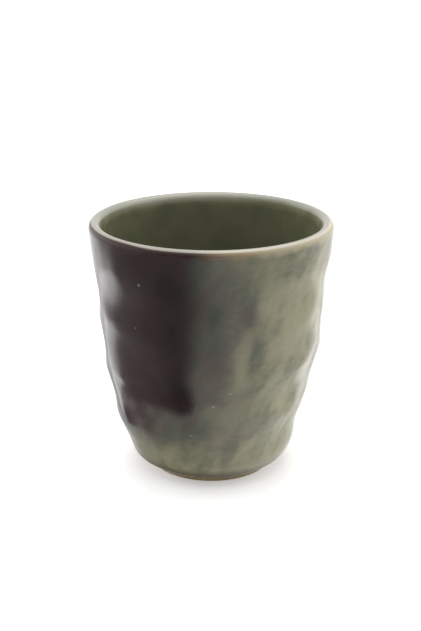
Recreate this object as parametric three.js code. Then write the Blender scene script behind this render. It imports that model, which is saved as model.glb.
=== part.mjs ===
// A handleless stoneware coffee cup: a thrown and pressed clay body on a turned foot, a celadon
// coat outside, a dark iron glaze poured down one side, and a celadon liner that laps the lip.
// Millimetres, +Z up, origin on the table at the middle of the foot. Seen from -Y the dark pour is
// on the left. Each glaze coat is fused to the clay, so both solids share one and the same surface.
import * as THREE from "three";
import { mergeVertices } from "three/addons/utils/BufferGeometryUtils.js";

const { clamp, degToRad, lerp, smoothstep, euclideanModulo } = THREE.MathUtils;

// Overall sizes
const rimDiameter = 85;
const cupHeight = 90.1;
const lipThickness = 4.2;
const wallThickness = 5;
const floorThickness = 5.8;
const floorFlatDiameter = 24;
const glazeThickness = 0.5;

// Outside profile: a diameter at a height, from the glaze line up to the shoulder
const glazeLineDiameter = 48.6;
const glazeLineHeight = 2.3;
const heelDiameter = 59.6;
const heelHeight = 7.5;
const waistDiameter = 70;
const waistHeight = 26;
const bellyDiameter = 78.1;
const bellyHeight = 46;
const shoulderDiameter = 81.7;
const shoulderHeight = 68;

// Turned foot, left bare of glaze
const footDiameter = 45;
const footRingWidth = 4.6;
const footRecess = 2.2;
const footDraft = 0.5;
const footChamfer = 0.5;

// Thumb dents, pressed one after another along a rising spiral whose last turn runs level
const dentsPerTurn = 8.07;
const dentRisePerTurn = 18.6;
const firstDentAngle = degToRad(185);
const firstDentHeight = 10.7;
const topDentHeight = 70;
const dentDepth = 1.26;
const dentHalfWidth = 18.4;
const dentHalfHeight = 11.5;
const plainBelowLip = 14;
const plainAboveFoot = 6;

// How far the pressing has bent the wall off its axis: mostly towards -X below, a little to +X above
const wallBend = 1.2;

// Dark pour: two swaying side edges, and its lower edge's heights at even steps between them
const pourStart = degToRad(108);
const pourEnd = degToRad(262);
const pourSway = degToRad(1.5);
const pourSwayWaves = 2.6;
const pourEdgeHeights = [36, 31, 25, 22.5, 18.5, 17.5, 17, 16.5, 20, 19.5, 18.8, 21.2, 30, 30.8, 35.5];

// Fineness of the surfaces
const pourColumns = 30;
const bareColumns = 28;
const rowsUnderPour = 8;
const rowsOverPour = 13;
const lipSteps = 6;
const insideSteps = 6;
const floorCornerSteps = 4;
const floorSteps = 1;

const columns = pourColumns + bareColumns;
const wallRows = rowsUnderPour + rowsOverPour;
const rimRadius = rimDiameter / 2;
const lipRadius = lipThickness / 2;
const lipJoint = cupHeight - lipRadius;
const floorTop = footRecess + floorThickness;

// Profiles are drawn as points of (radius, height)
const at = (radius, height) => new THREE.Vector2(radius, height);

const outsideWall = new THREE.SplineCurve([
  at(glazeLineDiameter / 2, glazeLineHeight),
  at(heelDiameter / 2, heelHeight),
  at(waistDiameter / 2, waistHeight),
  at(bellyDiameter / 2, bellyHeight),
  at(shoulderDiameter / 2, shoulderHeight),
  at(rimRadius, lipJoint),
]);

const lip = new THREE.EllipseCurve(rimRadius - lipRadius, lipJoint, lipRadius, lipRadius, 0, Math.PI);

const insideWall = new THREE.SplineCurve([
  at(rimRadius - lipThickness, lipJoint),
  at(shoulderDiameter / 2 - wallThickness, shoulderHeight),
  at(bellyDiameter / 2 - wallThickness, bellyHeight),
  at(waistDiameter / 2 - wallThickness, waistHeight),
]);

// The wall runs on in its own direction to the floor's level, and that corner is rounded off
const wallEnd = insideWall.getPoint(1);
const wallFall = insideWall.getTangent(1);
const cornerRadius = wallEnd.x + ((floorTop - wallEnd.y) * wallFall.x) / wallFall.y;
const floorEdge = at(floorFlatDiameter / 2, floorTop);
const floorCorner = new THREE.QuadraticBezierCurve(wallEnd, at(cornerRadius, floorTop), floorEdge);
const floorFlat = new THREE.LineCurve(floorEdge, at(0, floorTop));

// Where a rising curve passes a height, found by halving
function shareAtHeight(curve, height) {
  let low = 0;
  let high = 1;
  for (let halving = 0; halving < 40; halving++) {
    const middle = (low + high) / 2;
    if (curve.getPoint(middle).y < height) low = middle;
    else high = middle;
  }
  return low;
}

// How deep the thumb dents are at a place on the outside wall
function dentAt(angle, radius, height) {
  const lastTurn = (topDentHeight - firstDentHeight) / dentRisePerTurn + 1;
  let depth = 0;
  for (let dent = 0; dent < Math.floor(lastTurn * dentsPerTurn); dent++) {
    const turns = dent / dentsPerTurn;
    const aside = angle - firstDentAngle - 2 * Math.PI * turns;
    const across = (euclideanModulo(aside + Math.PI, 2 * Math.PI) - Math.PI) * radius;
    const above = height - Math.min(firstDentHeight + dentRisePerTurn * turns, topDentHeight);
    const reach = (across / dentHalfWidth) ** 2 + (above / dentHalfHeight) ** 2;
    if (reach < 1) depth += dentDepth * (1 - reach) ** 2;
  }
  const underLip = 1 - smoothstep(height, lipJoint - plainBelowLip, lipJoint);
  const overFoot = smoothstep(height, glazeLineHeight, glazeLineHeight + plainAboveFoot);
  return depth * underLip * overFoot;
}

// Columns bunch so that two of them run down the side edges of the pour
function columnAngle(column, share) {
  const sway = pourSway * Math.sin(2 * Math.PI * pourSwayWaves * share);
  const start = pourStart + sway;
  const end = pourEnd - sway;
  if (column <= pourColumns) return lerp(start, end, column / pourColumns);
  return lerp(end, start + 2 * Math.PI, (column - pourColumns) / bareColumns);
}

const pourEdgeLine = new THREE.SplineCurve(pourEdgeHeights.map((height, step) => at(step, height)));

function pourEdge(angle) {
  return pourEdgeLine.getPoint(clamp((angle - pourStart) / (pourEnd - pourStart), 0, 1)).y;
}

// Rows bunch so that one of them runs along the lower edge of the pour, and on to its other end
function rowHeight(column, row) {
  const edgeAt = (edgeColumn) => pourEdge(columnAngle(edgeColumn, row / wallRows));
  const past = (column - pourColumns) / bareColumns;
  const edge = past <= 0 ? edgeAt(column) : lerp(edgeAt(pourColumns), edgeAt(0), past);
  if (row <= rowsUnderPour) return lerp(glazeLineHeight, edge, row / rowsUnderPour);
  return lerp(edge, lipJoint, (row - rowsUnderPour) / rowsOverPour);
}

// A place on the cup, moved aside with the bent wall
function spun(radius, height, angle) {
  const share = clamp((height - glazeLineHeight) / (lipJoint - glazeLineHeight), 0, 1);
  const bend = -wallBend * Math.sin(2 * Math.PI * share) * (1 - share);
  return new THREE.Vector3(radius * Math.cos(angle) + bend, radius * Math.sin(angle), height);
}

// A profile point moved into the clay, square to the profile's direction
function sunk(point, direction, depth) {
  return at(point.x - direction.y * depth, point.y + direction.x * depth);
}

function ring(angleOf, pointOf) {
  return Array.from({ length: columns }, (_, column) => {
    const angle = angleOf(column);
    const point = pointOf(column, angle);
    return spun(point.x, point.y, angle);
  });
}

// The outside wall's rings at a depth under the finished glaze, bottom to top
function wallRings(depth) {
  return Array.from({ length: wallRows + 1 }, (_, row) =>
    ring(
      (column) => columnAngle(column, row / wallRows),
      (column, angle) => {
        const height = rowHeight(column, row);
        const share = shareAtHeight(outsideWall, height);
        const point = outsideWall.getPoint(share);
        const direction = row === wallRows ? lip.getTangent(0) : outsideWall.getTangent(share);
        return sunk(point, direction, depth + dentAt(angle, point.x, height));
      },
    ),
  );
}

// The rings from the lip's outer edge over the lip to the middle of the floor, at a depth
function insideRings(depth) {
  const stretches = [
    [lip, lipSteps],
    [insideWall, insideSteps],
    [floorCorner, floorCornerSteps],
    [floorFlat, floorSteps],
  ];
  const profile = stretches.flatMap(([curve, steps], stretch) =>
    Array.from({ length: steps + 1 }, (_, step) => step / steps)
      .slice(stretch === 0 ? 0 : 1)
      .map((share) => sunk(curve.getPoint(share), curve.getTangent(share), depth)),
  );
  return profile.map((point) => ring((column) => columnAngle(column, 1), () => point));
}

// The turned foot's rings, from the middle of its underside out to its outer edge
function footRings() {
  const outer = footDiameter / 2;
  const inner = outer - footRingWidth;
  const profile = [
    at(0, footRecess),
    at(inner - footDraft, footRecess),
    at(inner, footChamfer),
    at(inner + footChamfer, 0),
    at(outer - footChamfer, 0),
    at(outer, footChamfer),
  ];
  return profile.map((point) => ring((column) => columnAngle(column, 0), () => point));
}

// Collects triangles, leaving out the flat ones where a ring has shrunk to a point on the axis
class Skin {
  positions = [];

  triangle(...corners) {
    const flat = corners.some((corner, index) => corner.distanceTo(corners[(index + 1) % 3]) < 1e-6);
    if (!flat) corners.forEach((corner) => this.positions.push(corner.x, corner.y, corner.z));
  }

  // The shorter diagonal splits a quad, so two solids that share four corners share the split too
  quad(a, b, c, d) {
    if (a.distanceTo(c) <= b.distanceTo(d)) {
      this.triangle(a, b, c);
      this.triangle(a, c, d);
    } else {
      this.triangle(a, b, d);
      this.triangle(b, c, d);
    }
  }

  mesh(name, material) {
    const geometry = new THREE.BufferGeometry();
    geometry.setAttribute("position", new THREE.Float32BufferAttribute(this.positions, 3));
    const merged = mergeVertices(geometry);
    merged.computeVertexNormals();
    const mesh = new THREE.Mesh(merged, material);
    mesh.name = name;
    return mesh;
  }
}

// A solid of revolution from rings that start and end on the axis
function turnedSolid(rings) {
  const skin = new Skin();
  for (let row = 0; row + 1 < rings.length; row++) {
    for (let column = 0; column < columns; column++) {
      const next = (column + 1) % columns;
      skin.quad(rings[row][column], rings[row][next], rings[row + 1][next], rings[row + 1][column]);
    }
  }
  return skin;
}

// The part of a coat whose cells belong to one glaze: outer face, clay face and the edges between
function coat(outer, inner, belongs) {
  const skin = new Skin();
  for (let row = 0; row < wallRows; row++) {
    for (let column = 0; column < columns; column++) {
      if (!belongs(column, row)) continue;
      const next = (column + 1) % columns;
      const previous = (column + columns - 1) % columns;
      const corners = [
        [row, column],
        [row, next],
        [row + 1, next],
        [row + 1, column],
      ];
      const neighbours = [
        [column, row - 1],
        [next, row],
        [column, row + 1],
        [previous, row],
      ];
      const [a, b, c, d] = corners.map(([r, k]) => outer[r][k]);
      skin.quad(a, b, c, d);
      const [e, f, g, h] = corners.map(([r, k]) => inner[r][k]);
      skin.quad(h, g, f, e);
      neighbours.forEach(([sideColumn, sideRow], side) => {
        const covered = sideRow >= 0 && sideRow < wallRows && belongs(sideColumn, sideRow);
        if (covered) return;
        const [r0, k0] = corners[side];
        const [r1, k1] = corners[(side + 1) % 4];
        skin.quad(outer[r1][k1], outer[r0][k0], inner[r0][k0], inner[r1][k1]);
      });
    }
  }
  return skin;
}

const clayMaterial = new THREE.MeshStandardMaterial({ color: 0x8d745a, roughness: 0.9, metalness: 0 });
const celadonMaterial = new THREE.MeshStandardMaterial({ color: 0x858570, roughness: 0.2, metalness: 0 });
const darkMaterial = new THREE.MeshStandardMaterial({ color: 0x3d3130, roughness: 0.2, metalness: 0 });
const linerMaterial = new THREE.MeshStandardMaterial({ color: 0x74775c, roughness: 0.2, metalness: 0 });

const glazeFace = wallRings(0);
const clayFace = wallRings(glazeThickness);
const linerFace = insideRings(0);
const clayInside = insideRings(glazeThickness);
const isPour = (column, row) => column < pourColumns && row >= rowsUnderPour;

const cup = new THREE.Group();
cup.name = "coffee_cup";
cup.add(
  turnedSolid([...footRings(), ...clayFace, ...clayInside.slice(1)]).mesh("clay_body", clayMaterial),
  coat(glazeFace, clayFace, (column, row) => !isPour(column, row)).mesh("outside_glaze", celadonMaterial),
  coat(glazeFace, clayFace, isPour).mesh("dark_glaze", darkMaterial),
  turnedSolid([...clayInside.toReversed(), ...linerFace]).mesh("inside_glaze", linerMaterial),
);

export default cup;
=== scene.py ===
import math

import bmesh
import bpy
import numpy as np
from mathutils import Color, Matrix, Vector, kdtree, noise
from mathutils.geometry import interpolate_bezier


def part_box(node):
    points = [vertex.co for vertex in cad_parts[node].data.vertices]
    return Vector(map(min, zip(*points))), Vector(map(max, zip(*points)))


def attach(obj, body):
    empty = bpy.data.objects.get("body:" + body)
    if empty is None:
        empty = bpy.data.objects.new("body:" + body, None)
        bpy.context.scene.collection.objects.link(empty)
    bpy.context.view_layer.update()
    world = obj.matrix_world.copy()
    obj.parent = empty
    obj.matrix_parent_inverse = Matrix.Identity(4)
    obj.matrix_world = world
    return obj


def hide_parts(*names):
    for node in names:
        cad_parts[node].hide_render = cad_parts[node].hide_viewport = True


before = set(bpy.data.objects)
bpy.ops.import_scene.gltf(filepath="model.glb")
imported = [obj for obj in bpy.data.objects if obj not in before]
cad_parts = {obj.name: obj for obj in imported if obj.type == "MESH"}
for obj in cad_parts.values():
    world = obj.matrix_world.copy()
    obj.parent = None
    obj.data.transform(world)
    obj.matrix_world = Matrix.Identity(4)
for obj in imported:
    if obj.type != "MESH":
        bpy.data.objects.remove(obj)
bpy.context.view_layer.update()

# The view: a short telephoto lens a little above the lip, aimed at the middle of the cup, which
# keeps both sides of the outline nearly straight and shows the inside as a flat ellipse.
camera_distance = 0.3928
camera_rise = math.radians(19.45)
aim = Vector((-0.00023, 0, 0.0544))
photo_focal_pixels = 1100
photo_long_side = 631
sensor_width = 36

camera_data = bpy.data.cameras.new("camera")
camera_data.sensor_width = sensor_width
camera_data.lens = photo_focal_pixels / photo_long_side * sensor_width
camera = bpy.data.objects.new("camera", camera_data)
towards_camera = Vector((0, -math.cos(camera_rise), math.sin(camera_rise)))
camera.location = aim + camera_distance * towards_camera
camera.rotation_euler = (-towards_camera).to_track_quat("-Z", "Y").to_euler()
bpy.context.scene.collection.objects.link(camera)
bpy.context.scene.camera = camera

# Clay body: buff stoneware, thrown on the wheel, pressed with the thumb in a rising spiral while
# it is soft, and turned to a small ring foot once it is leather hard. Only the foot stays bare.
cup_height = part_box("inside_glaze")[1].z
rim_radius = 0.0425
lip_radius = 0.0021
lip_joint = cup_height - lip_radius
wall_thickness = 0.005
glaze_thickness = 0.0005
floor_thickness = 0.0058
floor_flat_radius = 0.012

# Outside profile, as a radius at a height
glaze_line = Vector((0.0243, 0.0023))
heel = Vector((0.0298, 0.0075))
waist = Vector((0.0350, 0.026))
belly = Vector((0.03905, 0.046))
shoulder = Vector((0.04085, 0.068))

foot_radius = 0.0225
foot_ring_width = 0.0046
foot_recess = 0.0022
foot_draft = 0.0005
foot_round = 0.0005
foot_round_middle = 0.3 * foot_round
floor_top = foot_recess + floor_thickness

dents_per_turn = 8.07
dent_rise_per_turn = 0.0186
first_dent_angle = math.radians(185)
first_dent_height = 0.0107
top_dent_height = 0.070
dent_depth = 0.00126
dent_half_width = 0.0184
dent_half_height = 0.0115
plain_below_lip = 0.014
plain_above_foot = 0.006
wall_bend = 0.0012
hand_waver = 0.00012
hand_waver_size = 0.011

# Fineness of the curves, and how near two points are one
outside_steps = 40
clay_stride = 4
inside_steps = 12
corner_steps = 24
lip_steps = 20
clay_turn_steps = 120
same_place = 1e-6
sharp_edge = math.radians(50)


def smooth_run(knots, steps):
    """Points of a smooth curve through the knots, with so many steps between each two.

    A knot's handles are a sixth of the way from its one neighbour to the other.
    """
    run = [knots[0]]
    for index in range(len(knots) - 1):
        before, start = knots[max(index - 1, 0)], knots[index]
        end, after = knots[index + 1], knots[min(index + 2, len(knots) - 1)]
        leaving, arriving = start + (end - before) / 6, end - (after - start) / 6
        run += interpolate_bezier(start, leaving, arriving, end, steps + 1)[1:]
    return [Vector(point[:2]) for point in run]


rim = Vector((rim_radius, lip_joint))
outside_run = smooth_run([glaze_line, heel, waist, belly, shoulder, rim], outside_steps)
run_heights = np.array([point.y for point in outside_run])
run_radii = np.array([point.x for point in outside_run])
run_leans = np.gradient(run_radii, run_heights)


def ease(values, low, high):
    share = np.clip((values - low) / (high - low), 0, 1)
    return share * share * (3 - 2 * share)


def wall_radii(heights):
    return np.interp(heights, run_heights, run_radii)


def dents(angles, heights):
    """How far the thumb has pressed the wall in, at places on the outside."""
    pressed = np.zeros(len(angles))
    last_turn = (top_dent_height - first_dent_height) / dent_rise_per_turn + 1
    for dent in range(int(last_turn * dents_per_turn)):
        turns = dent / dents_per_turn
        above = heights - min(first_dent_height + dent_rise_per_turn * turns, top_dent_height)
        aside = angles - first_dent_angle - math.tau * turns
        across = ((aside + math.pi) % math.tau - math.pi) * wall_radii(heights)
        reach = (across / dent_half_width) ** 2 + (above / dent_half_height) ** 2
        pressed += dent_depth * np.clip(1 - reach, 0, 1) ** 2
    under_lip = 1 - ease(heights, lip_joint - plain_below_lip, lip_joint)
    over_foot = ease(heights, glaze_line.y, glaze_line.y + plain_above_foot)
    return pressed * under_lip * over_foot


def bend(heights):
    """How far the pressing has bent the wall off its axis, to one side below and the other above."""
    share = np.clip((heights - glaze_line.y) / (lip_joint - glaze_line.y), 0, 1)
    return -wall_bend * np.sin(math.tau * share) * (1 - share)


def wall_places(angles, heights, depths):
    """Places on the outside wall, at depths under the finished glaze."""
    radii = wall_radii(heights)
    leans = np.interp(heights, run_heights, run_leans)
    around = np.column_stack([np.cos(angles), np.sin(angles), np.zeros(len(angles))])
    plain = around * radii[:, None] + np.outer(heights, (0, 0, 1))
    waver = hand_waver * np.array([noise.noise(place / hand_waver_size) for place in map(Vector, plain)])
    waver *= 1 - ease(heights, lip_joint - plain_below_lip / 2, lip_joint)
    sunk = (depths + waver + dents(angles, heights)) / np.hypot(1, leans)
    bent = np.outer(bend(heights), (1, 0, 0))
    return plain + bent - around * sunk[:, None] + np.outer(sunk * leans, (0, 0, 1))


def turned(profile, steps):
    """A bmesh spun from a profile of (radius, height) points, closed where it meets the axis."""
    form = bmesh.new()
    points = [form.verts.new((point.x, 0, point.y)) for point in profile]
    edges = [form.edges.new(pair) for pair in zip(points, points[1:])]
    bmesh.ops.spin(
        form, geom=points + edges, cent=(0, 0, 0), axis=(0, 0, 1), dvec=(0, 0, 0),
        angle=math.tau, steps=steps, use_merge=True,
    )
    bmesh.ops.remove_doubles(form, verts=form.verts, dist=same_place)
    bmesh.ops.recalc_face_normals(form, faces=form.faces)
    return form


def piece_from(form, name, material):
    mesh = bpy.data.meshes.new(name)
    form.to_mesh(mesh)
    form.free()
    mesh.shade_smooth()
    mesh.set_sharp_from_angle(angle=sharp_edge)
    mesh.materials.append(material)
    piece = bpy.data.objects.new(name, mesh)
    bpy.context.scene.collection.objects.link(piece)
    return piece


def node(tree, kind, inputs=None, **settings):
    """A shader node with its settings, whose inputs are values or other nodes' sockets."""
    made = tree.nodes.new("ShaderNode" + kind)
    for name, value in settings.items():
        setattr(made, name, value)
    for name, value in (inputs or {}).items():
        if isinstance(value, bpy.types.NodeSocket):
            tree.links.new(value, made.inputs[name])
        else:
            made.inputs[name].default_value = value
    return made


def new_finish(name):
    """A new material, with its nodes, its shader and the place of a point on the piece."""
    material = bpy.data.materials.new(name)
    material.use_nodes = True
    tree = material.node_tree
    return material, tree, tree.nodes["Principled BSDF"], node(tree, "TexCoord").outputs["Object"]


def sum_of(tree, operation, first, second):
    return node(tree, "Math", {0: first, 1: second}, operation=operation).outputs[0]


def plus(tree, first, second):
    return sum_of(tree, "ADD", first, second)


def times(tree, first, second):
    return sum_of(tree, "MULTIPLY", first, second)


def slide(tree, value, low, high, to_low=0.0, to_high=1.0):
    """A smooth step from one value to another while the input goes from low to high."""
    ends = {"Value": value, "From Min": low, "From Max": high, "To Min": to_low, "To Max": to_high}
    return node(tree, "MapRange", ends, interpolation_type="SMOOTHSTEP").outputs[0]


def blend(tree, share, under, over):
    return node(tree, "Mix", {0: share, 6: under, 7: over}, data_type="RGBA").outputs[2]


def fired(red, green, blue):
    """A colour as it looks on the fired cup, 0 to 255 each."""
    return (*Color((red / 255, green / 255, blue / 255)).from_srgb_to_scene_linear(), 1)


def grain(tree, place, size, detail=3.0, roughness=0.55):
    """Cloudy noise whose patches are about one size, in metres."""
    inputs = {"Vector": place, "Scale": 1 / size, "Detail": detail, "Roughness": roughness}
    return node(tree, "TexNoise", inputs).outputs[0]


buff_clay = fired(184, 161, 126)
sandy_clay = fired(204, 182, 146)
flashed_clay = fired(178, 156, 118)
clear_patches = (0.35, 0.65)
sand_size = 0.0006
flashing_heights = (0.0012, 0.0026)
flashing_waver = 0.0004
clay_roughness = 0.85
turning_scale = 320
turning_waver = 1.5
tooth_size = 0.0004
tooth_share = 0.5
tooth_strength = 0.25
tooth_depth = 0.0002

bare_clay, tree, shader, place = new_finish("bare_clay")
height = node(tree, "SeparateXYZ", {0: place}).outputs[2]
sand = slide(tree, grain(tree, place, sand_size), *clear_patches)
clay = blend(tree, sand, buff_clay, sandy_clay)
flashing = slide(tree, plus(tree, height, times(tree, sand, flashing_waver)), *flashing_heights)
tree.links.new(blend(tree, flashing, clay, flashed_clay), shader.inputs["Base Color"])
shader.inputs["Roughness"].default_value = clay_roughness
turning = node(
    tree, "TexWave", {"Vector": place, "Scale": turning_scale, "Distortion": turning_waver},
    wave_type="RINGS", rings_direction="Z",
).outputs[1]
tooth = blend(tree, tooth_share, turning, grain(tree, place, tooth_size))
bump = node(tree, "Bump", {"Strength": tooth_strength, "Distance": tooth_depth, "Height": tooth})
tree.links.new(bump.outputs[0], shader.inputs["Normal"])

lip_centre = Vector((rim_radius - lip_radius, lip_joint))
lip_turns = [math.pi * step / lip_steps for step in range(lip_steps + 1)]


def lip_point(turn, radius):
    return lip_centre + radius * Vector((math.cos(turn), math.sin(turn)))


inside_knots = [
    Vector((rim_radius - 2 * lip_radius, lip_joint)),
    shoulder - Vector((wall_thickness, 0)),
    belly - Vector((wall_thickness, 0)),
    waist - Vector((wall_thickness, 0)),
]
inside_wall = smooth_run(inside_knots, inside_steps)
wall_end = inside_wall[-1]
fall = (wall_end - inside_wall[-2]).normalized()
corner = wall_end + fall * (floor_top - wall_end.y) / fall.y
floor_edge = Vector((floor_flat_radius, floor_top))
corner_handles = [end.lerp(corner, 2 / 3) for end in (wall_end, floor_edge)]
corner_run = interpolate_bezier(wall_end, *corner_handles, floor_edge, corner_steps)
corner_run = [Vector(point[:2]) for point in corner_run]


def inside_at(depth):
    """The run over the lip and down the inside to the middle of the floor, at a depth in the wall."""
    run = [lip_point(turn, lip_radius - depth) for turn in lip_turns]
    run += [point + Vector((depth, 0)) for point in inside_wall[1:]]
    run += [point + depth * Vector((1, -1)) / math.sqrt(2) for point in corner_run[1:-1]]
    return run + [floor_edge - Vector((0, depth)), Vector((0, floor_top - depth))]


foot_inner = foot_radius - foot_ring_width
clay_profile = [
    Vector((0, foot_recess)),
    Vector((foot_inner - foot_draft, foot_recess)),
    Vector((foot_inner, foot_round)),
    Vector((foot_inner + foot_round, 0)),
    Vector((foot_radius - foot_round, 0)),
    Vector((foot_radius - foot_round_middle, foot_round_middle)),
    Vector((foot_radius, foot_round)),
]
clay_profile += [point - Vector((glaze_thickness, 0)) for point in outside_run[::clay_stride]]
clay_profile += inside_at(glaze_thickness)[1:]

clay_form = turned(clay_profile, clay_turn_steps)
wall_verts = [
    vert for vert in clay_form.verts
    if glaze_line.y - same_place <= vert.co.z <= lip_joint
    and math.hypot(vert.co.x, vert.co.y) > wall_radii(vert.co.z) - 2 * glaze_thickness
]
angles = np.array([math.atan2(vert.co.y, vert.co.x) for vert in wall_verts])
heights = np.array([vert.co.z for vert in wall_verts])
for vert in clay_form.verts:
    vert.co.x += bend(vert.co.z)
for vert, place in zip(wall_verts, wall_places(angles, heights, glaze_thickness)):
    vert.co = place
clay_body = piece_from(clay_form, "clay_body_fired", bare_clay)
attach(clay_body, "root")
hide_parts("clay_body")

# Outside glazes: a pale celadon coat over the whole outside and a dark iron glaze poured down one
# side. In the kiln the two melt into one skin, dark brown, blue-grey where they mix, and mottled
# grey-green where the celadon is alone. Both are cut from one shell, so the surface runs on.
to_mm = 1000

# The pour's sides, as an angle in degrees at a height in millimetres, and its lower edge the other way
pour_side = [
    (0, 262.3), (36, 262.3), (41, 260), (45, 258.7), (51, 260.8), (60, 262.2), (75, 262.6), (89, 262),
]
far_side = [(0, 108), (30, 108), (44, 110), (58, 107), (75, 109), (89, 108)]
pour_foot = [
    (108, 36), (114, 31.5), (120, 31), (128, 26), (136, 22.8), (144, 22.4), (152, 18.6), (160, 17.2),
    (168, 18.8), (176, 16.8), (184, 16.2), (192, 19), (200, 21), (207, 19.3), (213, 18.4), (219, 18.9),
    (225, 20.6), (230, 21.6), (234.5, 24.8), (239, 29), (243, 31.4), (247.5, 31.7), (252, 30.7),
    (257, 31), (260.5, 32.6), (262.3, 36),
]

# Clouds in the glaze, in degrees and millimetres: angle, height, half width and half height, and how
# much paler or darker each one is. The two pale ones at 203 and 205 degrees are painted highlight on the
# pour's left edge.
glaze_clouds_and_sheen = [
    (287.5, 68.5, 3.0, 5.0, -1.1), (270.5, 67.5, 4.0, 5.0, -0.8), (275.0, 57.0, 4.0, 5.0, -0.4),
    (291.5, 54.0, 2.5, 6.0, -1.0), (275.5, 49.0, 3.5, 6.0, -0.6), (271.0, 39.5, 4.0, 6.0, -0.2),
    (327.0, 55.5, 3.0, 6.0, -0.6), (309.5, 81.0, 6.0, 3.5, -0.4), (281.0, 80.0, 8.0, 4.0, -0.2),
    (253.5, 27.0, 4.5, 4.5, -0.25), (263.0, 22.5, 4.0, 5.0, -0.4), (284.0, 16.5, 4.5, 5.0, -0.8),
    (256.5, 12.5, 3.0, 2.0, -0.5), (275.5, 10.5, 4.5, 2.5, -0.6), (306.0, 40.0, 3.5, 7.0, -0.4),
    (284.5, 50.5, 2.6, 8.0, 0.9), (297.5, 66.5, 6.0, 6.0, 0.2), (312.0, 74.0, 5.0, 6.0, 0.5),
    (308.0, 22.0, 16.0, 6.0, -0.45), (295.0, 35.0, 4.0, 8.0, 0.1), (318.0, 62.0, 3.0, 9.0, 0.3),
    (270.0, 31.5, 6.0, 4.5, 0.7), (240.0, 12.0, 6.0, 3.0, 0.5), (318.0, 32.0, 4.0, 7.0, 0.4),
    (203.0, 73.0, 6.0, 9.0, 0.3), (205.0, 43.0, 8.0, 9.0, 0.5), (236.0, 30.0, 9.0, 4.0, 0.5),
    (241.0, 21.5, 6.0, 4.0, -0.7), (252.0, 20.5, 4.0, 4.0, -0.4), (243.0, 29.0, 3.0, 2.5, -0.2),
    (254.0, 41.0, 3.5, 8.0, -0.9), (251.0, 60.0, 4.0, 9.0, -0.6), (251.0, 77.0, 5.0, 6.0, -0.8),
    (212.0, 30.5, 5.0, 3.5, 0.9), (226.0, 23.0, 5.0, 4.0, 0.6), (315.0, 50.0, 4.0, 5.0, 0.2),
    (317.0, 8.5, 7.0, 3.0, 0.6),
]

# Pinholes, in degrees and millimetres: angle, height and size, and how clear a pale one is. The pale ones
# are partly painted glints
pale_specks_and_glints = [
    (272, 34.4, 0.6, 0.7), (280, 40, 0.5, 0.7), (235.7, 76.8, 0.7, 0.35),
    (231, 61, 0.5, 0.2), (315, 47.8, 0.6, 0.6), (260, 23.2, 0.6, 0.3),
]
dark_pinholes = [(251.7, 62.5, 1.5), (219.5, 86.2, 0.6), (218.6, 84.6, 0.5)]
pinhole_core = 0.4

pour_columns = 132
bare_columns = 176
rows_under_pour = 60
rows_over_pour = 110
glaze_roll = 0.0008
lip_break_turn = math.radians(47)
lip_break = lip_break_turn * lip_radius

# A coat stops a hair short of the clay, so that no two faces lie in one place
clay_clearance = 0.1 * glaze_thickness
coat_depth = glaze_thickness - clay_clearance


def drawn(knots, values):
    """A smooth line through drawn knots, read at some of their first values."""
    first, second = np.array(knots).T
    slopes = np.gradient(second, first)
    knot = np.clip(np.searchsorted(first, values) - 1, 0, len(first) - 2)
    step = first[knot + 1] - first[knot]
    share = np.clip((values - first[knot]) / step, 0, 1)
    rest = 1 - share
    from_start = (second[knot] * (1 + 2 * share) + slopes[knot] * step * share) * rest ** 2
    return from_start + (second[knot + 1] * (1 + 2 * rest) - slopes[knot + 1] * step * rest) * share ** 2


def pour_sides(heights):
    return np.radians(drawn(far_side, to_mm * heights)), np.radians(drawn(pour_side, to_mm * heights))


def pour_edge(angles):
    return drawn(pour_foot, np.degrees(angles)) / to_mm


def clouded(angles, heights):
    """How much paler or darker the clouds make the glaze, at places on the outside."""
    shade = np.zeros(len(angles))
    for angle, up, wide, tall, amount in glaze_clouds_and_sheen:
        aside = (angles - math.radians(angle) + math.pi) % math.tau - math.pi
        across, above = to_mm * aside * wall_radii(heights), to_mm * heights - up
        shade += amount * np.exp(-((across / wide) ** 2 + (above / tall) ** 2))
    return shade


columns = pour_columns + bare_columns
rows = rows_under_pour + rows_over_pour
shell = bmesh.new()
bmesh.ops.create_grid(shell, x_segments=columns, y_segments=rows, size=1)
reach_layer = shell.verts.layers.float.new("pour_reach")
gap_layer = shell.verts.layers.float.new("lip_gap")
cloud_layer = shell.verts.layers.float.new("glaze_clouds_and_sheen")
pour_layer = shell.faces.layers.int.new("is_pour")

# The grid's columns bunch along the pour's sides, and its rows along the pour's lower edge
column, row = (
    np.round([(vert.co[axis] + 1) / 2 * count for vert in shell.verts]).astype(int)
    for axis, count in enumerate((columns, rows))
)
along = np.where(column <= pour_columns, column / pour_columns, 1)
past = np.where(column > pour_columns, (column - pour_columns) / bare_columns, 0)
first, last = math.radians(pour_foot[0][0]), math.radians(pour_foot[-1][0])
edges = pour_edge(first + (last - first) * along) * (1 - past) + pour_edge(first) * past
under = row / rows_under_pour
over = (row - rows_under_pour) / rows_over_pour
heights = np.where(
    over <= 0, glaze_line.y + (edges - glaze_line.y) * under, edges + (lip_joint - edges) * over)
start, end = pour_sides(heights)
angles = start + (end - start) * along + (start + math.tau - end) * past
risen = np.clip((heights - glaze_line.y) / glaze_roll, 0, 1)
places = wall_places(angles, heights, glaze_thickness * (1 - np.sqrt(risen * (2 - risen))))

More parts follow.
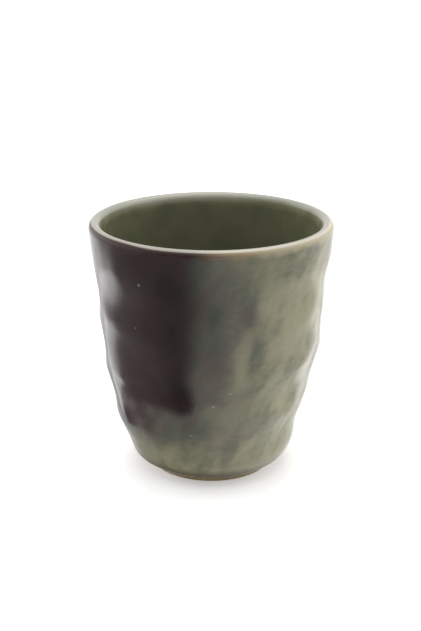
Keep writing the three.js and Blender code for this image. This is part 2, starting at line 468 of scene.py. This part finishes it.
# Each point knows how far it is from the pour's outline and from the lip, in millimetres
inside = (row >= rows_under_pour) & (column <= pour_columns)
outline = inside & ((column == 0) | (column == pour_columns) | (row == rows_under_pour))
nearest = kdtree.KDTree(int(outline.sum()))
for index, place in enumerate(places[outline]):
    nearest.insert(place, index)
nearest.balance()
shades = clouded(angles, heights)
for index, vert in enumerate(shell.verts):
    vert.co = places[index]
    reach = to_mm * nearest.find(vert.co)[2]
    vert[reach_layer] = reach if inside[index] else -reach
    vert[gap_layer] = to_mm * (lip_break + lip_joint - heights[index])
    vert[cloud_layer] = shades[index]
shell.verts.index_update()
for face in shell.faces:
    corners = [vert.index for vert in face.verts]
    face[pour_layer] = int(max(column[corners]) <= pour_columns and min(row[corners]) >= rows_under_pour)
bmesh.ops.remove_doubles(shell, verts=shell.verts, dist=same_place)
bmesh.ops.recalc_face_normals(shell, faces=shell.faces)
shell.normal_update()

# Celadon by itself: its streaks lean as they run, in radians for each metre of height
celadon_grey = fired(154, 153, 126)
celadon_pale = fired(178, 172, 141)
celadon_shade = fired(113, 115, 96)
celadon_cloud = fired(168, 162, 131)
celadon_fleck = fired(180, 175, 146)
soft_patches = (0.3, 0.7)
smooth_grain = 0.4
streak_lean = -9
streak_stretch = (1, 1, 0.5)
streak_size = 0.009
patch_size = 0.005
cloud_plain = 0.3
cloud_tear = 1.6
cloud_share = 0.5
shade_size = 0.0068
shade_from_cloud = 0.2
shade_range = (0.31, 0.71)
shade_share = 0.8
fleck_squeeze = (1, 1, 1.6)
fleck_size = 0.003
fleck_share = 0.3

# The iron pour, and the smoky mist where the two glazes mix: distances are from the pour's edge
iron_brown = fired(50, 32, 30)
iron_red = fired(56, 41, 39)
iron_bloom_and_sheen = fired(132, 120, 120)
iron_pool = fired(32, 18, 16)
iron_cloud_size = 0.013
bloom_and_sheen_share = 0.6
pool_cloud = -0.8
pool_share = 0.8
smoke_brown = fired(92, 80, 79)
smoke_green = fired(78, 86, 80)
smoke_size = 0.008
mist_reach = (-31.0, 5.0)
mist_swing = 14.0
mist_from_cloud = 8.0
mist_heights = (0.010, 0.030)
mist_shares = (0.4, 0.95)
edge_reach = (-2.2, 2.8)
edge_swing = 2.5
soft_edge_heights = (0.040, 0.062)
soft_edge = (1.0, 1.9)
low_edge_heights = (0.036, 0.028)
left_edge_places = (-0.014, -0.021)

# Where the coat thins out: tan at the heel, a rusty line under the lip and a cream line on it. The
# darker brown at the coat's lower edge is partly painted shade, and the cream line partly painted
# highlight
heel_tan = fired(102, 88, 60)
heel_tan_heights = (0.0085, 0.0045)
# Partly painted shade: darker brown just above the coat's lower edge, where the glaze rolls under
heel_brown_and_shade = fired(74, 60, 38)
heel_brown_and_shade_heights = (0.0036, 0.0024)
lip_tan = fired(190, 179, 150)
lip_rust = fired(170, 148, 118)
lip_rust_reach = (-26.0, -12.0)
lip_iron = fired(62, 44, 42)
lip_iron_reach = (-14.0, 2.0)
rust_gap = (3.0, 1.2)
rust_swing = 4.0
# The cream and grey of the lip's line are partly clay through thin glaze, partly painted highlight
lip_cream_and_sheen = fired(208, 200, 182)
lip_grey_and_sheen = fired(172, 162, 153)
lip_grey_reach = (-12.0, 6.0)
cream_gap = (0.3, -0.4)
cream_lap = 0.4
cream_lap_reach = (14.0, 26.0)
lip_celadon = fired(158, 160, 148)
lip_celadon_gap = (-0.7, -1.6)
speck_and_glint_pale = fired(184, 180, 160)
pinhole_dark = fired(34, 22, 20)


def painted(tree, name):
    """A value that the mesh carries at each of its points."""
    return node(tree, "Attribute", attribute_name=name).outputs["Fac"]


def swing(tree, cloudy, width):
    """Noise as a swing to both sides of zero, so wide from end to end."""
    return times(tree, sum_of(tree, "SUBTRACT", cloudy, 0.5), width)


def spot(tree, place, angle, height, size):
    """A small round mark in the glaze, at an angle in degrees and a height in millimetres."""
    centre = wall_places(np.radians([angle]), np.array([height / to_mm]), 0)[0]
    far = node(tree, "VectorMath", {0: place, 1: centre}, operation="DISTANCE").outputs["Value"]
    return slide(tree, far, size / to_mm, pinhole_core * size / to_mm)


def celadon_colour(tree, place, streaky, streaks, torn):
    """Celadon by itself: streaked as it ran, shaded where it lies thin, paler in clouds and flecks."""
    squeezed = node(tree, "Mapping", {"Vector": place, "Scale": fleck_squeeze}).outputs[0]
    flecks = grain(tree, squeezed, fleck_size, detail=4)
    shade = grain(tree, streaky, shade_size, detail=2, roughness=smooth_grain)
    shade = sum_of(tree, "SUBTRACT", shade, times(tree, torn, shade_from_cloud))
    colour = blend(tree, slide(tree, streaks, *soft_patches), celadon_grey, celadon_pale)
    colour = blend(tree, slide(tree, shade, *shade_range, 0.0, shade_share), colour, celadon_shade)
    colour = blend(tree, slide(tree, torn, 0.0, 1.0, 0.0, cloud_share), colour, celadon_cloud)
    return blend(tree, slide(tree, flecks, *soft_patches, 0.0, fleck_share), colour, celadon_fleck)


def iron_colour(tree, place, torn):
    """The pour: brown, with a grey bloom in its pale clouds, in part painted highlight on its left edge,
    and near black where it has pooled.
    """
    clouds = grain(tree, place, iron_cloud_size, detail=2)
    colour = blend(tree, slide(tree, clouds, *clear_patches), iron_brown, iron_red)
    colour = blend(tree, slide(tree, torn, 0.0, 1.0, 0.0, bloom_and_sheen_share), colour, iron_bloom_and_sheen)
    return blend(tree, slide(tree, torn, 0.0, pool_cloud, 0.0, pool_share), colour, iron_pool)


def outside_colour(tree, place):
    """The colour of the two melted glazes, from the heel over the lip, and the gap to the lip's line."""
    side, _, height = node(tree, "SeparateXYZ", {0: place}).outputs
    reach, gap, clouds = (painted(tree, name) for name in ("pour_reach", "lip_gap", "glaze_clouds_and_sheen"))
    lean = {"Vector": place, "Angle": times(tree, height, streak_lean)}
    leaned = node(tree, "VectorRotate", lean, rotation_type="Z_AXIS").outputs[0]
    streaky = node(tree, "Mapping", {"Vector": leaned, "Scale": streak_stretch}).outputs[0]
    streaks = grain(tree, streaky, streak_size, detail=2)
    patches = grain(tree, streaky, patch_size, detail=2, roughness=smooth_grain)
    torn = times(tree, clouds, plus(tree, cloud_plain, times(tree, patches, cloud_tear)))
    celadon = celadon_colour(tree, place, streaky, streaks, torn)

    smoke = slide(tree, grain(tree, leaned, smoke_size, detail=1), *clear_patches)
    smoke = blend(tree, smoke, smoke_brown, smoke_green)
    misted = sum_of(tree, "SUBTRACT", reach, times(tree, torn, mist_from_cloud))
    mist = slide(tree, plus(tree, misted, swing(tree, streaks, mist_swing)), *mist_reach)
    mist = times(tree, mist, slide(tree, height, *mist_heights, *mist_shares))
    mixed = blend(tree, mist, celadon, smoke)

    ragged = plus(tree, reach, swing(tree, patches, edge_swing))
    low_left = times(tree, slide(tree, height, *low_edge_heights), slide(tree, side, *left_edge_places))
    softness = plus(tree, slide(tree, height, *soft_edge_heights, *soft_edge), low_left)
    poured = slide(tree, sum_of(tree, "DIVIDE", ragged, softness), *edge_reach)
    skin = blend(tree, poured, mixed, iron_colour(tree, place, torn))

    skin = blend(tree, slide(tree, height, *heel_tan_heights), skin, heel_tan)
    # Darker brown at the coat's lower edge, partly painted shade
    skin = blend(tree, slide(tree, height, *heel_brown_and_shade_heights), skin, heel_brown_and_shade)
    thin = plus(tree, gap, swing(tree, patches, rust_swing))
    rust = blend(tree, slide(tree, reach, *lip_rust_reach), lip_tan, lip_rust)
    rust = blend(tree, slide(tree, reach, *lip_iron_reach), rust, lip_iron)
    skin = blend(tree, slide(tree, thin, *rust_gap), skin, rust)
    # Pale specks, partly painted glints
    for angle, up, size, share in pale_specks_and_glints:
        skin = blend(tree, times(tree, spot(tree, place, angle, up, size), share), skin, speck_and_glint_pale)
    for angle, up, size in dark_pinholes:
        skin = blend(tree, spot(tree, place, angle, up, size), skin, pinhole_dark)

    # Painted highlight, in part: the cream and grey line along the lip's top
    cream_and_sheen = blend(tree, slide(tree, reach, *lip_grey_reach), lip_cream_and_sheen, lip_grey_and_sheen)
    lapped = plus(tree, gap, slide(tree, reach, *cream_lap_reach, 0.0, cream_lap))
    skin = blend(tree, slide(tree, lapped, *cream_gap), skin, cream_and_sheen)
    return blend(tree, slide(tree, gap, *lip_celadon_gap), skin, lip_celadon), gap


glaze_specular = 0.3
gloss_patch_size = 0.004
gloss_roughness = (0.10, 0.18)
peel_size = 0.0018
peel_strength = 0.05
peel_depth = 0.0003


def glaze_finish(tree, shader, place):
    """The melted surface: a soft gloss, a little uneven like orange peel."""
    shader.inputs["Specular IOR Level"].default_value = glaze_specular
    patches = grain(tree, place, gloss_patch_size, detail=2)
    gloss = slide(tree, patches, *soft_patches, *gloss_roughness)
    tree.links.new(gloss, shader.inputs["Roughness"])
    peel = grain(tree, place, peel_size, detail=2)
    bump = node(tree, "Bump", {"Strength": peel_strength, "Distance": peel_depth, "Height": peel})
    tree.links.new(bump.outputs[0], shader.inputs["Normal"])


outside_skin, tree, shader, place = new_finish("outside_glaze")
tree.links.new(outside_colour(tree, place)[0], shader.inputs["Base Color"])
glaze_finish(tree, shader, place)


def coat_from(keep_pour, name):
    """One glaze of the shell as a closed coat, with the whole shell's shading on its outer face."""
    form = shell.copy()
    layer = form.faces.layers.int["is_pour"]
    strangers = [face for face in form.faces if bool(face[layer]) != keep_pour]
    normals = {tuple(vert.co): vert.normal.copy() for vert in form.verts}
    bmesh.ops.delete(form, geom=strangers, context="FACES")
    bmesh.ops.solidify(form, geom=list(form.faces), thickness=coat_depth)
    bmesh.ops.recalc_face_normals(form, faces=form.faces)
    coat = piece_from(form, name, outside_skin)
    points = [tuple(coat.data.vertices[loop.vertex_index].co) for loop in coat.data.loops]
    coat.data.normals_split_custom_set([normals.get(point, (0, 0, 0)) for point in points])
    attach(coat, "root")
    return coat


celadon_coat = coat_from(False, "outside_glaze_coat")
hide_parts("outside_glaze")

dark_coat = coat_from(True, "dark_glaze_pour")
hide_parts("dark_glaze")
shell.free()

# Liner: the same celadon poured in and out again, so it lies smooth and thick inside and laps the
# lip. On the lip's round it has run thin, and the pale clay shows through as a cream line, partly
# painted highlight. A pale band on the inside's back, under the lip, is painted highlight.
liner_olive = fired(101, 103, 80)
liner_green = fired(109, 110, 86)
liner_cloud_size = 0.012
# Painted highlight: a pale band on the back of the inside, a little to the left, just under the lip
liner_painted_sheen = fired(214, 212, 196)
sheen_side = (-0.26, 0.97, 0)
sheen_start = (-1.8, -3.0)
sheen_end = (-6.5, -4.2)
sheen_places = (0.022, 0.042)
sheen_share = 0.55
liner_thin = fired(158, 153, 124)
liner_thin_gap = (-3.2, -5.5)
liner_full_gap = (-3.0, -8.0)
liner_swing = 4.0
liner_turn_steps = 144

liner_run = inside_at(0)
liner_form = turned(liner_run + inside_at(coat_depth)[::-1] + liner_run[:1], liner_turn_steps)
reach_layer = liner_form.verts.layers.float.new("pour_reach")
gap_layer = liner_form.verts.layers.float.new("lip_gap")
rim_start, rim_end = (float(side) for side in pour_sides(np.array(lip_joint)))
rim_middle, rim_half = (rim_start + rim_end) / 2, (rim_end - rim_start) / 2
for vert in liner_form.verts:
    radius, angle = math.hypot(vert.co.x, vert.co.y), math.atan2(vert.co.y, vert.co.x)
    over_lip = math.atan2(max(vert.co.z - lip_joint, 0), radius - lip_centre.x)
    arc = lip_radius * over_lip + max(lip_joint - vert.co.z, 0)
    vert[gap_layer] = to_mm * (lip_break - arc)
    aside = abs((angle - rim_middle + math.pi) % math.tau - math.pi)
    vert[reach_layer] = to_mm * rim_radius * (rim_half - aside)
for vert in liner_form.verts:
    vert.co.x += bend(vert.co.z)

liner_skin, tree, shader, place = new_finish("liner_glaze")
lip_colour, gap = outside_colour(tree, place)
clouds = grain(tree, place, liner_cloud_size)
olive = blend(tree, slide(tree, clouds, *clear_patches), liner_olive, liner_green)
# Painted highlight on the inside's back, under the lip
back_left = node(tree, "VectorMath", {0: place, 1: sheen_side}, operation="DOT_PRODUCT").outputs["Value"]
sheen_band = times(tree, slide(tree, gap, *sheen_start), slide(tree, gap, *sheen_end))
sheen_band = times(tree, sheen_band, slide(tree, back_left, *sheen_places, 0.0, sheen_share))
edge = plus(tree, gap, swing(tree, clouds, liner_swing))
thinned = blend(tree, slide(tree, edge, *liner_thin_gap), lip_colour, liner_thin)
inner = blend(tree, slide(tree, edge, *liner_full_gap), thinned, olive)
tree.links.new(blend(tree, sheen_band, inner, liner_painted_sheen), shader.inputs["Base Color"])
glaze_finish(tree, shader, place)
liner = piece_from(liner_form, "inside_glaze_liner", liner_skin)
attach(liner, "root")
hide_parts("inside_glaze")

# Studio: a plain white sweep of paper under and behind the cup, soft light from two windows at the back,
# from the room and from above, and a dim room in front, past the paper's edge. For glossy rays alone the
# paper glows as a painted reflection: a stripe from each window at the back, and painted shade, dusk, at
# the front and near the foot.
white = (1, 1, 1, 1)
paper_half_size = 3
paper_colour = (0.85, 0.85, 0.85, 1)
past_paper_colour = (0.1, 0.1, 0.1, 1)
paper_edge = -0.085
paper_fade = 0.05
paper_glow = 0.31

# What the glaze sees on the paper as painted reflection: bearings are off straight back, distances are
# from the cup's axis
beside_cup = 0.048
stripe_inner = (math.radians(34), math.radians(50))
stripe_outer = (math.radians(86), math.radians(68))
left_stripe = 2.4
right_stripe = 1.6
stripe_start = (0.04, 0.075)
stripe_end = (0.27, 0.16)
stripe_tail = 0.15
back_bearing = (math.radians(95), math.radians(66))
back_start = (-0.03, 0.0)
middle = (-0.02, 0.02)
left_paper_far = (0.06, 0.20)
left_paper_level = (0.9, 1.6)
left_paper_bearing = (math.radians(62), math.radians(38))
left_paper_aside = 0.45
right_paper_far = (0.10, 0.22)
right_paper_level = (1.4, 1.3)
left_dusk_far = (0.03, 0.10)
left_dusk_level = (0.1, 0.6)
right_heel_far = (0.0235, 0.0315)
right_heel_level = (0.1, 1.6)
right_dusk_far = (0.032, 0.042)
right_dusk_share = (1.0, 0.8)

paper, tree, shader, place = new_finish("white_paper")
tree.nodes.remove(shader)
sideways, forward, _ = node(tree, "SeparateXYZ", {0: place}).outputs
far = node(tree, "VectorMath", {0: place}, operation="LENGTH").outputs["Value"]
on_right = slide(tree, sideways, *middle)


def bearing_beside(side):
    """The bearing of a place on the paper, from a point on the left (-1) or the right (1) of the cup."""
    across = sum_of(tree, "SUBTRACT", times(tree, sideways, side), beside_cup)
    return sum_of(tree, "ARCTAN2", across, forward)


def glowing(level):
    return node(tree, "Emission", {"Color": white, "Strength": level}).outputs[0]


# Painted reflection: for glossy rays the paper glows brighter than white, in a stripe from each window
left_bearing, right_bearing = bearing_beside(-1), bearing_beside(1)
spread = times(tree, slide(tree, far, *stripe_start), slide(tree, far, *stripe_end, stripe_tail, 1.0))
stripes = [
    times(tree, slide(tree, bearing, *stripe_inner), slide(tree, bearing, *stripe_outer, 0.0, strength))
    for bearing, strength in ((left_bearing, left_stripe), (right_bearing, right_stripe))
]
shine = plus(tree, *[times(tree, stripe, spread) for stripe in stripes])
narrow = slide(tree, left_bearing, *left_paper_bearing, left_paper_aside, 1.0)
left_paper = times(tree, slide(tree, far, *left_paper_far, *left_paper_level), narrow)
right_paper = slide(tree, far, *right_paper_far, *right_paper_level)
painted_paper_glow = node(tree, "Mix", {0: on_right, 2: left_paper, 3: right_paper}).outputs[0]
sweep = node(tree, "AddShader", {0: glowing(painted_paper_glow), 1: glowing(shine)})

# Painted shade in the reflection: dusk close to the foot and in front
left_dusk = slide(tree, far, *left_dusk_far, *left_dusk_level)
right_heel = slide(tree, far, *right_heel_far, *right_heel_level)
right_dusk = times(tree, right_heel, slide(tree, far, *right_dusk_far, *right_dusk_share))
dusk_level = node(tree, "Mix", {0: on_right, 2: left_dusk, 3: right_dusk}).outputs[0]
behind = times(tree, slide(tree, left_bearing, *back_bearing), slide(tree, right_bearing, *back_bearing))
behind = times(tree, behind, slide(tree, forward, *back_start))
painted_reflection = node(tree, "MixShader", {0: behind, 1: glowing(dusk_level), 2: sweep.outputs[0]})

on_paper = slide(tree, forward, paper_edge - paper_fade, paper_edge)
lit = node(tree, "BsdfDiffuse", {"Color": blend(tree, on_paper, past_paper_colour, paper_colour)})
bright = node(tree, "BsdfDiffuse", {"Color": white})
burnt_out = node(tree, "AddShader", {0: bright.outputs[0], 1: glowing(paper_glow)})
path = node(tree, "LightPath").outputs
seen = node(tree, "MixShader", {0: path["Is Glossy Ray"], 1: lit.outputs[0], 2: painted_reflection.outputs[0]})
seen = node(tree, "MixShader", {0: path["Is Camera Ray"], 1: seen.outputs[0], 2: burnt_out.outputs[0]})
tree.links.new(seen.outputs[0], tree.nodes["Material Output"].inputs["Surface"])

floor_form = bmesh.new()
bmesh.ops.create_grid(floor_form, x_segments=1, y_segments=1, size=paper_half_size)
floor = piece_from(floor_form, "floor", paper)

room_colour = (0.95, 0.95, 0.95, 1)
front_colour = (0.29, 0.29, 0.29, 1)
front_depth = (-0.15, -0.75)
front_rise = (0.75, 0.4)
window_colour = (3.3, 3.3, 3.3, 1)
window_edge = (0.86, 0.96)
window_mirrored = 0.15
windows = [Vector((-0.87, 0.48, 0.12)), Vector((0.87, 0.48, 0.12))]

studio = bpy.data.worlds.new("studio")
bpy.context.scene.world = studio
studio.use_nodes = True
tree = studio.node_tree
direction = node(tree, "TexCoord").outputs["Generated"]
_, forward, upward = node(tree, "SeparateXYZ", {0: direction}).outputs
dim = times(tree, slide(tree, forward, *front_depth), slide(tree, upward, *front_rise))
room = blend(tree, dim, room_colour, front_colour)
path = node(tree, "LightPath").outputs
window_share = slide(tree, path["Is Glossy Ray"], 0.0, 1.0, 1.0, window_mirrored)
for window in windows:
    facing = {0: direction, 1: window.normalized()}
    towards = node(tree, "VectorMath", facing, operation="DOT_PRODUCT").outputs["Value"]
    room = blend(tree, times(tree, slide(tree, towards, *window_edge), window_share), room, window_colour)
backdrop = blend(tree, path["Is Camera Ray"], room, white)
tree.links.new(backdrop, tree.nodes["Background"].inputs["Color"])

top_light_size = 0.8
top_light_watts = 3
top_light_place = Vector((0, 0.25, 0.9))
top_light = bpy.data.lights.new("top_light", "AREA")
top_light.size = top_light_size
top_light.energy = top_light_watts
lamp = bpy.data.objects.new("top_light", top_light)
lamp.location = top_light_place
lamp.rotation_euler = (aim - top_light_place).to_track_quat("-Z", "Y").to_euler()
bpy.context.scene.collection.objects.link(lamp)

bpy.context.scene.view_settings.view_transform = "Standard"
